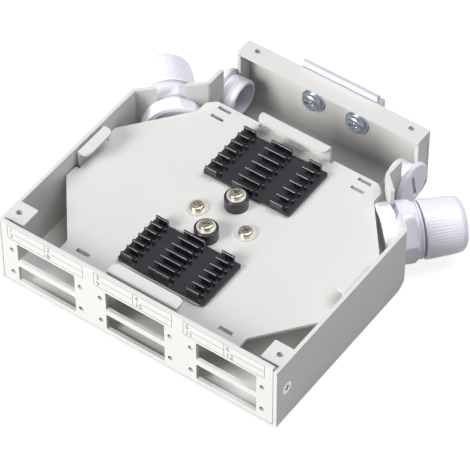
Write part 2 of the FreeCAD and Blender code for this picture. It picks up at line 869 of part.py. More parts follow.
def clip_profile():
    # Section of the block, closed: a low back and a grooved ridge, a little off the wall at its top.
    ridge_back = box_depth + clip_ridge_depth
    ridge_front = box_depth + clip_wall_gap
    groove = box_depth + clip_ridge_land
    groove_back = groove + clip_groove_width
    groove_low = clip_high - clip_groove_depth
    gap_low = clip_high - clip_rise - clip_gap_depth
    points = [(clip_back, clip_low), (clip_back, clip_body_high), (ridge_back, clip_body_high),
              (ridge_back, clip_high - clip_ridge_chamfer), (ridge_back - clip_ridge_chamfer, clip_high),
              (groove_back, clip_high), (groove_back, groove_low), (groove, groove_low), (groove, clip_high),
              (ridge_front, clip_high), (ridge_front, gap_low), (box_depth, gap_low), (box_depth, clip_low),
              (clip_back, clip_low)]
    return [Vec(-clip_half, y, z) for y, z in points]


def clip_body():
    block = Part.Face(Part.makePolygon(clip_profile())).extrude(Vec(2 * clip_half, 0, 0))
    jaw = slab(jaw_points(box_depth + jaw_front_step), [0] * 11, jaw_low, jaw_high)
    channel = box(-rail_half - 1, latch_inner_end + latch_end_gap, box_depth - 1, box_depth + latch_depth,
                  latch_low, latch_high)
    stop_start = latch_window_start + latch_end_gap
    stop_half = latch_window_half - latch_end_gap
    stop_front = box_depth + stop_step
    stop = box(stop_start, stop_start + stop_length, stop_front, stop_front + latch_depth,
               latch_middle - stop_half, latch_middle + stop_half)
    body = fuse([block, jaw]).cut(channel)
    body = fuse([body, stop])
    for side in (-1, 1):
        body = body.cut(rod(clip_screw_radius + fastener_clearance,
                            Vec(side * clip_screw_x, box_depth - 1, clip_screw_z),
                            clip_screw_bite + clip_hole_room, Vec(0, 1, 0)))
    return body


def clip_latch():
    near = box_depth + latch_play
    far = box_depth + latch_depth - latch_play
    outer = rail_half + jaw_play + jaw_thickness
    low = latch_low + latch_play
    high = latch_high - latch_play
    bar = box(-outer + jaw_chamfer, latch_inner_end, near, far, low, high)
    window = box(latch_window_start, latch_window_end, near - 1, far + 1,
                 latch_middle - latch_window_half, latch_middle + latch_window_half)
    points = [(-x, y) for x, y in reversed(jaw_points(near))]
    inner = -(rail_half + jaw_play)
    jaw = slab(points, [0] * 11, low, jaw_high)
    jaw = jaw.cut(box(inner, 0, near - 1, hook_start - 0.01, low - 1, jaw_high + 1))
    pull = box(-outer - latch_pull_reach, -outer + jaw_chamfer, near, near + latch_pull_thickness,
               low + latch_pull_inset, high - latch_pull_inset)
    pull_end = -outer - latch_pull_reach
    corners = [edge for edge in pull.Edges
               if edge.BoundBox.YLength > latch_pull_thickness - 0.1 and edge.BoundBox.XMax < pull_end + 0.01]
    pull = pull.makeFillet(latch_pull_round, corners)
    eye = rod(latch_eye_radius, Vec(-outer - latch_pull_reach + latch_eye_inset, near - 1, latch_middle),
              latch_pull_thickness + 2, Vec(0, 1, 0))
    return fuse([bar.cut(window), jaw, pull]).cut(eye)


def clip_spring():
    start = latch_window_start + latch_end_gap + stop_length
    length = latch_window_end - start - 2 * spring_wire
    helix = Part.makeHelix(length / spring_turns, length, spring_radius)
    wire = Part.Wire(helix.Edges)
    tangent_lift = length / spring_turns / (2 * math.pi * spring_radius)
    circle = Part.Wire(Part.makeCircle(spring_wire, Vec(spring_radius, 0, 0), Vec(0, 1, tangent_lift)))
    coil = wire.makePipeShell([circle], True, True)
    coil.rotate(Vec(0, 0, 0), Vec(0, 1, 0), 90)
    coil.translate(Vec(start + spring_wire, box_depth + latch_depth / 2, latch_middle))
    return coil


def clip_screw(side):
    flange = rod(clip_flange_radius, Vec(0, 0, 0), clip_flange_height)
    screw = pan_screw(clip_head_radius, clip_head_height, clip_head_round, clip_screw_radius,
                      sheet + clip_screw_bite + clip_flange_height)
    screw.translate(Vec(0, 0, clip_flange_height))
    screw = fuse([flange, screw])
    return on_wall(screw, Vec(side * clip_screw_x, inner_depth, clip_screw_z), Vec(0, -1, 0))


# Export

total_depth = hook_end


def export(node, shape):
    placed = shape.copy()
    placed.translate(Vec(0, -total_depth / 2, 0))
    placed.exportStep("parts/" + node + ".step")
    solids = placed.Solids
    print(node, "solids", len(solids), "valid", placed.isValid(), "volume", round(placed.Volume, 2),
          "box", [round(v, 2) for v in (placed.BoundBox.XMin, placed.BoundBox.XMax, placed.BoundBox.YMin,
                                        placed.BoundBox.YMax, placed.BoundBox.ZMin, placed.BoundBox.ZMax)])


def main():
    os.makedirs("parts", exist_ok=True)
    places = standoff_places()
    post_seat = plate_top + post_height + washer_thickness
    plate_seat = plate_top + washer_thickness
    export("housing_tray", housing_tray())
    export("front_panel", front_panel())
    export("splice_plate", splice_plate())
    export("plate_standoffs", Part.makeCompound([standoff(x, y) for x, y in places]))
    pads = [comb_pad(comb_front_y, comb_front_width, pad_front_proud),
            comb_pad(comb_rear_y, comb_rear_width, -pad_inset)]
    export("comb_pads", Part.makeCompound(pads))
    export("splice_comb_front", splice_comb(comb_front_y, comb_front_width, fin_front_pitch))
    export("splice_comb_rear", splice_comb(comb_rear_y, comb_rear_width, fin_rear_pitch))
    export("post_sleeves", Part.makeCompound([post_sleeve(x, y) for x, y in places[2:]]))
    export("post_washers", Part.makeCompound(
        [washer(washer_radius, x, y, plate_top + post_height) for x, y in places[2:]]))
    export("post_screws", Part.makeCompound(
        [standing_screw(x, y, post_seat, post_height + plate_sheet + screw_bite,
                        post_screw_turn + screw_turn_step * i)
         for i, (x, y) in enumerate(places[2:])]))
    export("plate_washers", Part.makeCompound(
        [washer(plate_washer_radius, x, y, plate_top) for x, y in places[:2]]))
    export("plate_screws", Part.makeCompound(
        [standing_screw(x, y, plate_seat, plate_sheet + screw_bite, plate_screw_turn + screw_turn_step * i)
         for i, (x, y) in enumerate(places[:2])]))
    export("side_screws", Part.makeCompound([side_screw(side) for side in (-1, 1)]))
    for name, side in (("left", -1), ("right", 1)):
        place = gland_place(side)
        export("gland_body_" + name, on_wall(gland_body(), *place))
        export("gland_locknut_" + name, on_wall(gland_locknut(), *place))
        export("gland_gasket_" + name, on_wall(gland_gasket(), *place))
        export("gland_dome_nut_" + name, on_wall(gland_dome_nut(), *place))
        export("gland_seal_" + name, on_wall(gland_seal(), *place))
        place = plug_place(side)
        export("blanking_plug_" + name, on_wall(blanking_plug(), *place))
        export("plug_seal_ring_" + name, on_wall(plug_seal_ring(), *place))
    export("rail_clip_body", clip_body())
    export("rail_clip_latch", clip_latch())
    export("rail_clip_spring", clip_spring())
    export("rail_clip_screws", Part.makeCompound([clip_screw(side) for side in (-1, 1)]))


main()
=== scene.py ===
"""Looks of a wall box for fibre splices: coated tray, moulded glands and combs, plated screws and print."""
import json
import math

import bpy
from mathutils import Matrix, Vector

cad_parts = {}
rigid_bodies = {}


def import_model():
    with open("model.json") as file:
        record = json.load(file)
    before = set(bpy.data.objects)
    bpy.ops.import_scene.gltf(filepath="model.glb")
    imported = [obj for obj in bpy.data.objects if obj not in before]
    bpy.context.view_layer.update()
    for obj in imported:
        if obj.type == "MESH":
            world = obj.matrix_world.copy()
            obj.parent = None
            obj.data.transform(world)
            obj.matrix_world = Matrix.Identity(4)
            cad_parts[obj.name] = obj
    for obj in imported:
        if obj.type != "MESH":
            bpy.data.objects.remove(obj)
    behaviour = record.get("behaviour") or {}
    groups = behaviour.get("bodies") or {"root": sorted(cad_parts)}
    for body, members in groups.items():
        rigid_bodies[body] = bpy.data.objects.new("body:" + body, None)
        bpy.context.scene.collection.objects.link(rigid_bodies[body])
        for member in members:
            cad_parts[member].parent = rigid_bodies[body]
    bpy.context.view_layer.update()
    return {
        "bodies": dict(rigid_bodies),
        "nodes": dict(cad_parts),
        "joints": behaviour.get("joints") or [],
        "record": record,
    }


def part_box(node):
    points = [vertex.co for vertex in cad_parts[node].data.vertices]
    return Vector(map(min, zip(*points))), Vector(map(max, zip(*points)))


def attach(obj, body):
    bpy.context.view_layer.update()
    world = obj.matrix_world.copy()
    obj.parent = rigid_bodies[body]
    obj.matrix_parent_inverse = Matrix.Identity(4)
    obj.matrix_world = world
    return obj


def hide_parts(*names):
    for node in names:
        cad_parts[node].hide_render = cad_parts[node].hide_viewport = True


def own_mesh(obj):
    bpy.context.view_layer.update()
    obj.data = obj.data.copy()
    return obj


MM = 0.001

# Camera, from the vanishing lines of the photograph, in millimetres and degrees
CAMERA_PLACE = (454.8, -643.25, 879.3)
CAMERA_TARGET = (2.09, -11.16, 11.01)
CAMERA_ROLL = -0.11
CAMERA_LENS = 242.0
SENSOR_WIDTH = 36.0
CAMERA_REACH = 10000.0

# Lamps: bearing clockwise from the front and height in degrees, distance and size in metres, share of full
# daylight, and tint. Those on the right and behind it are a little cooler, as the shaded right wall shows.
PLAIN_WHITE = "#FFFFFF"
COOL_WHITE = "#F6F5FF"
LAMPS = {
    "key_front_left": (338, 34, 1.6, 0.6, 0.84, PLAIN_WHITE),
    "front_fill": (348, 14, 1.6, 0.7, 0.40, PLAIN_WHITE),
    "front_low": (337, 6, 1.6, 0.7, 0.28, PLAIN_WHITE),
    "back_right_high": (138, 58, 1.6, 0.75, 0.36, COOL_WHITE),
    "back_high": (160, 70, 1.6, 0.75, 0.22, PLAIN_WHITE),
    "top": (90, 84, 1.6, 0.75, 0.24, PLAIN_WHITE),
    "back_right_low": (150, 10, 1.6, 0.7, 0.12, COOL_WHITE),
    "right_low": (90, 10, 1.6, 0.7, 0.03, COOL_WHITE),
}

# Table: size in metres, gap under the tray in millimetres, its grey as light meets it and as the eye does
FLOOR_SIZE = 4.0
FLOOR_GAP = 0.1
FLOOR_GREY = "#9E9E9E"
FLOOR_SEEN_GREY = "#A0A0A0"
FLOOR_GLOW = 0.86

# Sky: strength and colour as dull faces, shiny faces and the eye meet it
SKY_SOFT = 0.02
SKY_SOFT_TINT = "#F4F4FA"
SKY_MIRRORED = 0.55
SKY_MIRRORED_TINT = "#F6F6FA"
SKY_SEEN = 1.0

# Print on the front panel, in millimetres: each label field has a left edge, a divider and a right edge
PRINT_PROUD = 0.01
PRINT_SUNK = 0.03
LABEL_FIELDS = ((-57.2, -40.3, -23.1), (-18.0, -0.7, 16.5), (21.5, 39.2, 56.6))
LABEL_LOW = 24.7
LABEL_MIDDLE = 28.1
LABEL_HIGH = 31.5
LABEL_LINE = 0.2
DIGIT_HEIGHT = 2.3
DIGIT_CAP_SHARE = 0.7
DIGIT_CURVE_STEPS = 4
DIGIT_INSET = 0.9
DIGIT_ROOM = 3.2

# Ribs of the dome nuts, in millimetres along and about the axis of the gland
RIB_COUNT = 58
RIB_RADIUS = 0.3
RIB_START = 10.5
RIB_LENGTH = 11.0
RIB_CIRCLE_START = 11.09
RIB_CIRCLE_END = 10.42
RIB_SIDES = 8

# Threads, drawn as a rounded ridge over a stretch of the plug's axis, in millimetres
THREAD_PITCH = 1.5
THREAD_RIDGE = 0.3
THREAD_STEPS = 64
PLUG_THREAD_RADIUS = 7.5
PLUG_THREAD_SPAN = (-6.0, -2.0)

# Spring of the rail latch, in millimetres
SPRING_RADIUS = 1.35
SPRING_WIRE = 0.25
SPRING_TURNS = 8.0
SPRING_STEPS = 28
WIRE_SIDES = 10

# Drag lines of the black mouldings, stretched along X as the fins lie
DRAG_STRETCH = (0.08, 1.0, 1.0)

# Angle in degrees up to which ribs, threads and wire are shaded smooth
SMOOTH_ANGLE = 60


def srgb(text):
    """Linear colour of an sRGB hex value such as #E8E8E6."""
    channels = [int(text[i:i + 2], 16) / 255 for i in (1, 3, 5)]
    return tuple(c / 12.92 if c <= 0.04045 else ((c + 0.055) / 1.055) ** 2.4 for c in channels) + (1.0,)


def per_mm(size):
    """Texture scale whose features are about this many millimetres across."""
    return 1.0 / (size * MM)


def add(tree, kind, inputs=None, **settings):
    """One node with its settings, and inputs given as values or as other nodes' outputs."""
    made = tree.nodes.new(kind)
    for name, value in settings.items():
        setattr(made, name, value)
    for name, value in (inputs or {}).items():
        if isinstance(value, bpy.types.NodeSocket):
            tree.links.new(value, made.inputs[name])
        else:
            made.inputs[name].default_value = value
    return made


def connect(tree, shader, sources):
    """Links each output to the shader's socket of that name."""
    for name, output in sources.items():
        tree.links.new(output, shader.inputs[name])


def new_object(name, data):
    """Object in the scene that shows the data."""
    made = bpy.data.objects.new(name, data)
    bpy.context.scene.collection.objects.link(made)
    return made


def new_material(name, **principled):
    """Material with a Principled shader set by its socket names, spaces written as underscores."""
    made = bpy.data.materials.new(name)
    made.use_nodes = True
    shader = made.node_tree.nodes["Principled BSDF"]
    for key, value in principled.items():
        shader.inputs[key.replace("_", " ")].default_value = value
    return made, made.node_tree, shader


# Materials

def powder_coat(name, base, patch):
    """Polyester powder on steel: fine orange peel and a soft sheen, with faint clouds of thickness."""
    made, tree, shader = new_material(name, Roughness=0.5, IOR=1.5)
    place = add(tree, "ShaderNodeTexCoord").outputs["Object"]
    cloud = add(tree, "ShaderNodeTexNoise", {"Vector": place, "Scale": per_mm(22), "Detail": 2.0})
    peel = add(tree, "ShaderNodeTexNoise", {"Vector": place, "Scale": per_mm(0.7), "Detail": 2.0})
    tone = add(tree, "ShaderNodeMix", {0: cloud.outputs["Fac"], 6: srgb(base), 7: srgb(patch)},
               data_type="RGBA")
    sheen = add(tree, "ShaderNodeMapRange", {"Value": peel.outputs["Fac"], "To Min": 0.42, "To Max": 0.58})
    bump = add(tree, "ShaderNodeBump", {"Strength": 0.12, "Distance": 0.03 * MM,
                                        "Height": peel.outputs["Fac"]})
    connect(tree, shader, {"Base Color": tone.outputs[2], "Roughness": sheen.outputs["Result"],
                           "Normal": bump.outputs["Normal"]})
    return made


def moulded_nylon(name, base, deep):
    """Injection-moulded polyamide: waxy cool white into which light sinks, with fine spark-eroded grain.
    The real grain is finer: it is drawn as coarse as it needs to show."""
    made, tree, shader = new_material(name, Roughness=0.36, IOR=1.53, Subsurface_Weight=0.12,
                                      Subsurface_Radius=(1.0, 0.9, 0.95), Subsurface_Scale=0.6 * MM)
    place = add(tree, "ShaderNodeTexCoord").outputs["Object"]
    flow = add(tree, "ShaderNodeTexNoise", {"Vector": place, "Scale": per_mm(9), "Detail": 3.0,
                                            "Distortion": 0.6})
    grain = add(tree, "ShaderNodeTexNoise", {"Vector": place, "Scale": per_mm(0.35), "Detail": 1.0})
    tone = add(tree, "ShaderNodeMix", {0: flow.outputs["Fac"], 6: srgb(base), 7: srgb(deep)},
               data_type="RGBA")
    sheen = add(tree, "ShaderNodeMapRange", {"Value": flow.outputs["Fac"], "To Min": 0.30, "To Max": 0.42})
    bump = add(tree, "ShaderNodeBump", {"Strength": 0.10, "Distance": 0.02 * MM,
                                        "Height": grain.outputs["Fac"]})
    connect(tree, shader, {"Base Color": tone.outputs[2], "Roughness": sheen.outputs["Result"],
                           "Normal": bump.outputs["Normal"]})
    return made


def black_polystyrene(name):
    """Moulded black polystyrene: near black with a violet cast, drag lines of the tool along the fins.
    The real lines are much finer: they are drawn as coarse as they need to show."""
    made, tree, shader = new_material(name, Roughness=0.25, IOR=1.59, Specular_IOR_Level=0.62)
    place = add(tree, "ShaderNodeTexCoord").outputs["Object"]
    along = add(tree, "ShaderNodeMapping", {"Vector": place, "Scale": DRAG_STRETCH})
    drag = add(tree, "ShaderNodeTexNoise", {"Vector": along.outputs["Vector"], "Scale": per_mm(0.55),
                                            "Detail": 3.0})
    haze = add(tree, "ShaderNodeTexNoise", {"Vector": place, "Scale": per_mm(6), "Detail": 2.0})
    tone = add(tree, "ShaderNodeMix", {0: drag.outputs["Fac"], 6: srgb("#0E0C12"), 7: srgb("#1C1822")},
               data_type="RGBA")
    sheen = add(tree, "ShaderNodeMapRange", {"Value": haze.outputs["Fac"], "To Min": 0.18, "To Max": 0.34})
    bump = add(tree, "ShaderNodeBump", {"Strength": 0.45, "Distance": 0.10 * MM,
                                        "Height": drag.outputs["Fac"]})
    connect(tree, shader, {"Base Color": tone.outputs[2], "Roughness": sheen.outputs["Result"],
                           "Normal": bump.outputs["Normal"]})
    return made


def plated_steel(name, bright, stain, polished, worn):
    """Electroplated steel: bright metal with a thin passivation stain and the marks of cold heading.
    The real marks are finer: they are drawn as coarse as they need to show."""
    made, tree, shader = new_material(name, Metallic=1.0, Roughness=polished)
    place = add(tree, "ShaderNodeTexCoord").outputs["Object"]
    stain_spread = add(tree, "ShaderNodeTexNoise", {"Vector": place, "Scale": per_mm(1.8), "Detail": 3.0})
    marks = add(tree, "ShaderNodeTexNoise", {"Vector": place, "Scale": per_mm(0.4), "Detail": 4.0})
    tone = add(tree, "ShaderNodeMix", {0: stain_spread.outputs["Fac"], 6: srgb(bright), 7: srgb(stain)},
               data_type="RGBA")
    sheen = add(tree, "ShaderNodeMapRange", {"Value": marks.outputs["Fac"], "To Min": polished,
                                             "To Max": worn})
    bump = add(tree, "ShaderNodeBump", {"Strength": 0.15, "Distance": 0.03 * MM,
                                        "Height": marks.outputs["Fac"]})
    connect(tree, shader, {"Base Color": tone.outputs[2], "Roughness": sheen.outputs["Result"],
                           "Normal": bump.outputs["Normal"]})
    return made


def moulded_rubber(name, base, bloom):
    """Moulded sealing rubber: dull and pale, with a faint grey bloom on the skin."""
    made, tree, shader = new_material(name, Roughness=0.7, IOR=1.52)
    place = add(tree, "ShaderNodeTexCoord").outputs["Object"]
    skin = add(tree, "ShaderNodeTexNoise", {"Vector": place, "Scale": per_mm(1.2), "Detail": 4.0})
    tone = add(tree, "ShaderNodeMix", {0: skin.outputs["Fac"], 6: srgb(base), 7: srgb(bloom)},
               data_type="RGBA")
    bump = add(tree, "ShaderNodeBump", {"Strength": 0.2, "Distance": 0.04 * MM,
                                        "Height": skin.outputs["Fac"]})
    connect(tree, shader, {"Base Color": tone.outputs[2], "Normal": bump.outputs["Normal"]})
    return made


def foam_tape(name):
    """Aged white foam tape: soft, dull and greyed, with the open pores of its cut edge."""
    made, tree, shader = new_material(name, Roughness=0.85, IOR=1.4)
    place = add(tree, "ShaderNodeTexCoord").outputs["Object"]
    pores = add(tree, "ShaderNodeTexVoronoi", {"Vector": place, "Scale": per_mm(0.5)})
    tone = add(tree, "ShaderNodeMix", {0: pores.outputs["Distance"], 6: srgb("#B8B6B0"), 7: srgb("#D2D0CA")},
               data_type="RGBA")
    bump = add(tree, "ShaderNodeBump", {"Strength": 0.3, "Distance": 0.05 * MM,
                                        "Height": pores.outputs["Distance"]})
    connect(tree, shader, {"Base Color": tone.outputs[2], "Normal": bump.outputs["Normal"]})
    return made


def screen_ink(name):
    """Screen-printed ink: thin grey film, a little uneven where the mesh let less through.
    The real mesh is finer: it is drawn as coarse as it needs to show."""
    made, tree, shader = new_material(name, Roughness=0.4, IOR=1.5)
    place = add(tree, "ShaderNodeTexCoord").outputs["Object"]
    film = add(tree, "ShaderNodeTexNoise", {"Vector": place, "Scale": per_mm(0.5), "Detail": 2.0})
    tone = add(tree, "ShaderNodeMix", {0: film.outputs["Fac"], 6: srgb("#3E3E44"), 7: srgb("#5E5E64")},
               data_type="RGBA")
    connect(tree, shader, {"Base Color": tone.outputs[2]})
    return made


def make_materials():
    """Every finish of the object by its plain name."""
    return {
        "tray": powder_coat("powder_coat_tray", "#D1D0CD", "#CCCBC8"),
        "plate": powder_coat("powder_coat_plate", "#D1D1CE", "#CCCCC9"),
        "nylon": moulded_nylon("moulded_nylon_white", "#ECEBF3", "#E5E4EE"),
        "clip": moulded_nylon("moulded_clip_white", "#DADAE0", "#D0D0D8"),
        "black": black_polystyrene("moulded_polystyrene_black"),
        "zinc": plated_steel("zinc_plated_steel", "#DCE1EA", "#C0C8D4", polished=0.22, worn=0.38),
        "nickel": plated_steel("nickel_plated_steel", "#DCD6C8", "#B0A488", polished=0.12, worn=0.26),
        "washer": plated_steel("nickel_plated_washer", "#E4E2DE", "#D2CFC8", polished=0.40, worn=0.55),
        "side_screw": plated_steel("nickel_plated_side_screw", "#D0CFC8", "#A8A69C", polished=0.25,
                                   worn=0.40),
        "wire": plated_steel("drawn_spring_wire", "#A8A8AC", "#8C8C90", polished=0.25, worn=0.40),
        "seal": moulded_rubber("moulded_rubber_seal", "#D8D8DE", "#C8C8D0"),
        "foam": foam_tape("foam_tape_white"),
        "ink": screen_ink("screen_ink_grey"),
    }


def finish_of(node):
    """Name of the finish that a CAD node takes."""
    if node.startswith(("gland_body", "gland_locknut", "gland_dome", "blanking_plug")):
        return "nylon"
    if node.startswith(("gland_gasket", "plug_seal_ring", "gland_seal")):
        return "seal"
    if node.startswith(("splice_comb", "post_sleeves")):
        return "black"
    if node in ("rail_clip_body", "rail_clip_latch"):
        return "clip"
    if node in ("rail_clip_screws", "plate_standoffs"):
        return "zinc"
    if node == "rail_clip_spring":
        return "wire"
    others = {"housing_tray": "tray", "front_panel": "tray", "splice_plate": "plate", "comb_pads": "foam",
              "post_washers": "washer", "plate_washers": "washer", "side_screws": "side_screw"}
    return others.get(node, "nickel")


# Mesh helpers

def plain_mesh(source, name):
    """The evaluated result of an object as a plain mesh object, in place of the source."""
    depsgraph = bpy.context.evaluated_depsgraph_get()
    mesh = bpy.data.meshes.new_from_object(source.evaluated_get(depsgraph))
    mesh.name = name
    made = new_object(name, mesh)
    bpy.data.objects.remove(source)
    return made


def run_tree(name, tree, values):
    """Runs a geometry tree with its named inputs set, and keeps the result as a plain mesh."""
    holder = new_object(name + "_source", bpy.data.meshes.new(name + "_source"))
    modifier = holder.modifiers.new("pattern", "NODES")
    modifier.node_group = tree
    for item in tree.interface.items_tree:
        if item.item_type == "SOCKET" and item.in_out == "INPUT" and item.name in values:
            modifier[item.identifier] = values[item.name]
    return plain_mesh(holder, name)


def place_mesh(piece, matrix):
    """Puts the place of a piece into its mesh, so that its object stays at the origin."""
    piece.data.transform(matrix)
    piece.data.update()


def axis_frame(origin, outward):
    """Matrix that lays a shape drawn along Z on a wall: Z goes outward and Y goes up. All in metres."""
    z_axis = Vector(outward).normalized()
    y_axis = Vector((0, 0, 1))
    x_axis = y_axis.cross(z_axis)
    columns = Matrix((x_axis, y_axis, z_axis)).transposed().to_4x4()
    return Matrix.Translation(origin) @ columns


def gland_frame(turn):
    """Place of one gland on the outside of its angled wall, which its dome nut's joint gives."""
    return axis_frame(turn["pos_m"], turn["axis"])


def plug_frame(side, name):
    """Place of one blanking plug on the outside of its cheek, where its sealing ring lies."""
    low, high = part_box("plug_seal_ring_" + name)
    cheek = low.x if side > 0 else high.x
    return axis_frame((cheek, (low.y + high.y) / 2, (low.z + high.z) / 2), (side, 0, 0))


def shade_round(piece):
    """Smooth faces apart from the sharp edges at ends."""
    piece.data.shade_smooth()
    piece.data.set_sharp_from_angle(angle=math.radians(SMOOTH_ANGLE))


# Geometry trees

def new_tree(name, sizes):
    """Empty geometry tree with named float or whole-number inputs and one geometry output."""
    tree = bpy.data.node_groups.new(name, "GeometryNodeTree")
    for size, value in sizes.items():
        kind = "NodeSocketInt" if isinstance(value, int) else "NodeSocketFloat"
        tree.interface.new_socket(size, in_out="INPUT", socket_type=kind).default_value = value
    tree.interface.new_socket("Geometry", in_out="OUTPUT", socket_type="NodeSocketGeometry")
    return tree, add(tree, "NodeGroupInput").outputs


def finish_tree(tree, geometry, material):
    """Ends a tree in real geometry with its material."""
    real = add(tree, "GeometryNodeRealizeInstances", {"Geometry": geometry})
    painted = add(tree, "GeometryNodeSetMaterial", {
        "Geometry": real.outputs["Geometry"], "Material": material})
    add(tree, "NodeGroupOutput", {"Geometry": painted.outputs["Geometry"]})
    return tree


def rib_tree(material):
    """Round-backed ribs along a slightly tapered nut, spread evenly about Z."""
    tree, given = new_tree("dome_ribs", {"Ribs": RIB_COUNT, "Rib Radius": 0.0, "Start": 0.0, "Length": 0.0,
                                         "Near Circle": 0.0, "Far Circle": 0.0})
    end = add(tree, "ShaderNodeMath", {0: given["Start"], 1: given["Length"]}, operation="ADD")
    low = add(tree, "ShaderNodeCombineXYZ", {"X": given["Near Circle"], "Z": given["Start"]})
    high = add(tree, "ShaderNodeCombineXYZ", {"X": given["Far Circle"], "Z": end.outputs[0]})
    spine = add(tree, "GeometryNodeCurvePrimitiveLine", {"Start": low.outputs[0], "End": high.outputs[0]})
    section = add(tree, "GeometryNodeCurvePrimitiveCircle", {
        "Resolution": RIB_SIDES, "Radius": given["Rib Radius"]})
    rib = add(tree, "GeometryNodeCurveToMesh", {
        "Curve": spine.outputs["Curve"], "Profile Curve": section.outputs["Curve"], "Fill Caps": True})
    spots = add(tree, "GeometryNodePoints", {"Count": given["Ribs"]})
    number = add(tree, "GeometryNodeInputIndex")
    share = add(tree, "ShaderNodeMath", {0: number.outputs[0], 1: given["Ribs"]}, operation="DIVIDE")
    turn = add(tree, "ShaderNodeMath", {0: share.outputs[0], 1: 2 * math.pi}, operation="MULTIPLY")
    euler = add(tree, "ShaderNodeCombineXYZ", {"Z": turn.outputs[0]})
    spread = add(tree, "GeometryNodeInstanceOnPoints", {
        "Points": spots.outputs[0], "Instance": rib.outputs[0], "Rotation": euler.outputs[0]})
    return finish_tree(tree, spread.outputs["Instances"], material)


def helix_tree(name, material):
    """Round wire along a helix about Z: a thread's ridge or a coil spring."""
    tree, given = new_tree(name, {"Steps": THREAD_STEPS, "Turns": 1.0, "Radius": 0.0, "Height": 0.0,
                                  "Wire": 0.0})
    spine = add(tree, "GeometryNodeCurveSpiral", {
        "Resolution": given["Steps"], "Rotations": given["Turns"], "Start Radius": given["Radius"],
        "End Radius": given["Radius"], "Height": given["Height"]})
    section = add(tree, "GeometryNodeCurvePrimitiveCircle", {
        "Resolution": WIRE_SIDES, "Radius": given["Wire"]})
    wire = add(tree, "GeometryNodeCurveToMesh", {
        "Curve": spine.outputs["Curve"], "Profile Curve": section.outputs["Curve"], "Fill Caps": True})
    return finish_tree(tree, wire.outputs["Mesh"], material)


# Pieces

def dome_ribs(name, turn, tree):
    """Grip ribs of one dome nut, which turn with it."""
    ribs = run_tree("dome_ribs_" + name, tree, {
        "Ribs": RIB_COUNT, "Rib Radius": RIB_RADIUS * MM, "Start": RIB_START * MM, "Length": RIB_LENGTH * MM,
        "Near Circle": RIB_CIRCLE_START * MM, "Far Circle": RIB_CIRCLE_END * MM})
    place_mesh(ribs, gland_frame(turn))
    shade_round(ribs)
    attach(ribs, "dome_" + name)


def thread_ridge(name, tree, radius, span, frame):
    """Ridge of one outside thread, over the stated span of its axis."""
    ridge = run_tree(name, tree, {
        "Steps": THREAD_STEPS, "Turns": (span[1] - span[0]) / THREAD_PITCH, "Radius": radius * MM,
        "Height": (span[1] - span[0]) * MM, "Wire": THREAD_RIDGE * MM})
    place_mesh(ridge, frame @ Matrix.Translation((0, 0, span[0] * MM)))
    shade_round(ridge)
    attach(ridge, "housing")


def latch_spring(tree):
    """Wound spring in place of the plain tube."""
    low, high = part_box("rail_clip_spring")
    centre = (low + high) / 2
    length = high.x - low.x - 2 * SPRING_WIRE * MM
    spring = run_tree("latch_spring", tree, {
        "Steps": SPRING_STEPS, "Turns": SPRING_TURNS, "Radius": SPRING_RADIUS * MM, "Height": length,
        "Wire": SPRING_WIRE * MM})
    start = Vector((low.x + SPRING_WIRE * MM, centre.y, centre.z))
    place_mesh(spring, Matrix.Translation(start) @ Matrix.Rotation(math.radians(90), 4, "Y"))
    shade_round(spring)
    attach(spring, "housing")
    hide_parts("rail_clip_spring")
    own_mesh(spring)


def bar_corners(face, x0, x1, z0, z1):
    """Corners and faces of one flat printed bar, closed at the back inside the panel."""
    front = face - PRINT_PROUD * MM
    back = face + PRINT_SUNK * MM
    corners = [(x * MM, y, z * MM) for y in (front, back) for z in (z0, z1) for x in (x0, x1)]
    faces = [(0, 1, 3, 2), (4, 6, 7, 5), (0, 4, 5, 1), (2, 3, 7, 6), (0, 2, 6, 4), (1, 5, 7, 3)]
    return corners, faces


def label_lines(face, ink):
    """Outlines of the label fields, with a divider and a middle line that starts beside the digits."""
    half = LABEL_LINE / 2
    bars = []
    for left, divider, right in LABEL_FIELDS:
        for z in (LABEL_LOW, LABEL_HIGH):
            bars.append((left, right, z - half, z + half))
        for x in (left, divider, right):
            bars.append((x - half, x + half, LABEL_LOW + half, LABEL_HIGH - half))
        bars.append((left + DIGIT_ROOM, divider - half, LABEL_MIDDLE - half, LABEL_MIDDLE + half))
        bars.append((divider + DIGIT_ROOM, right - half, LABEL_MIDDLE - half, LABEL_MIDDLE + half))
    points = []
    faces = []
    for bar in bars:
        corners, sides = bar_corners(face, *bar)
        faces += [tuple(len(points) + i for i in side) for side in sides]
        points += corners
    mesh = bpy.data.meshes.new("label_lines")
    mesh.from_pydata(points, [], faces)
    mesh.materials.append(ink)
    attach(new_object("label_lines", mesh), "housing")


def digit(text, x, face, z, ink):
    """One number in a plain upright face, standing a hair proud of the front panel."""
    curve = bpy.data.curves.new("digit_" + text, "FONT")
    curve.body = text
    curve.size = DIGIT_HEIGHT * MM / DIGIT_CAP_SHARE
    curve.extrude = (PRINT_PROUD + PRINT_SUNK) / 2 * MM
    curve.resolution_u = DIGIT_CURVE_STEPS
    curve.materials.append(ink)
    piece = plain_mesh(new_object("digit_source", curve), "label_digit_" + text)
    middle = face + (PRINT_SUNK - PRINT_PROUD) / 2 * MM
    upright = Matrix.Rotation(math.radians(90), 4, "X")
    place_mesh(piece, Matrix.Translation((x * MM, middle, z * MM)) @ upright)
    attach(piece, "housing")


def label_digits(face, ink):
    """Plain numbers beside each field: one to six above, seven to twelve below."""
    lift = (LABEL_HIGH - LABEL_MIDDLE - DIGIT_HEIGHT) / 2
    starts = [x for field in LABEL_FIELDS for x in field[:2]]
    for number, x in enumerate(starts, 1):
        digit(str(number), x + DIGIT_INSET, face, LABEL_MIDDLE + lift, ink)
        digit(str(number + len(starts)), x + DIGIT_INSET, face, LABEL_LOW + lift, ink)


# Stage

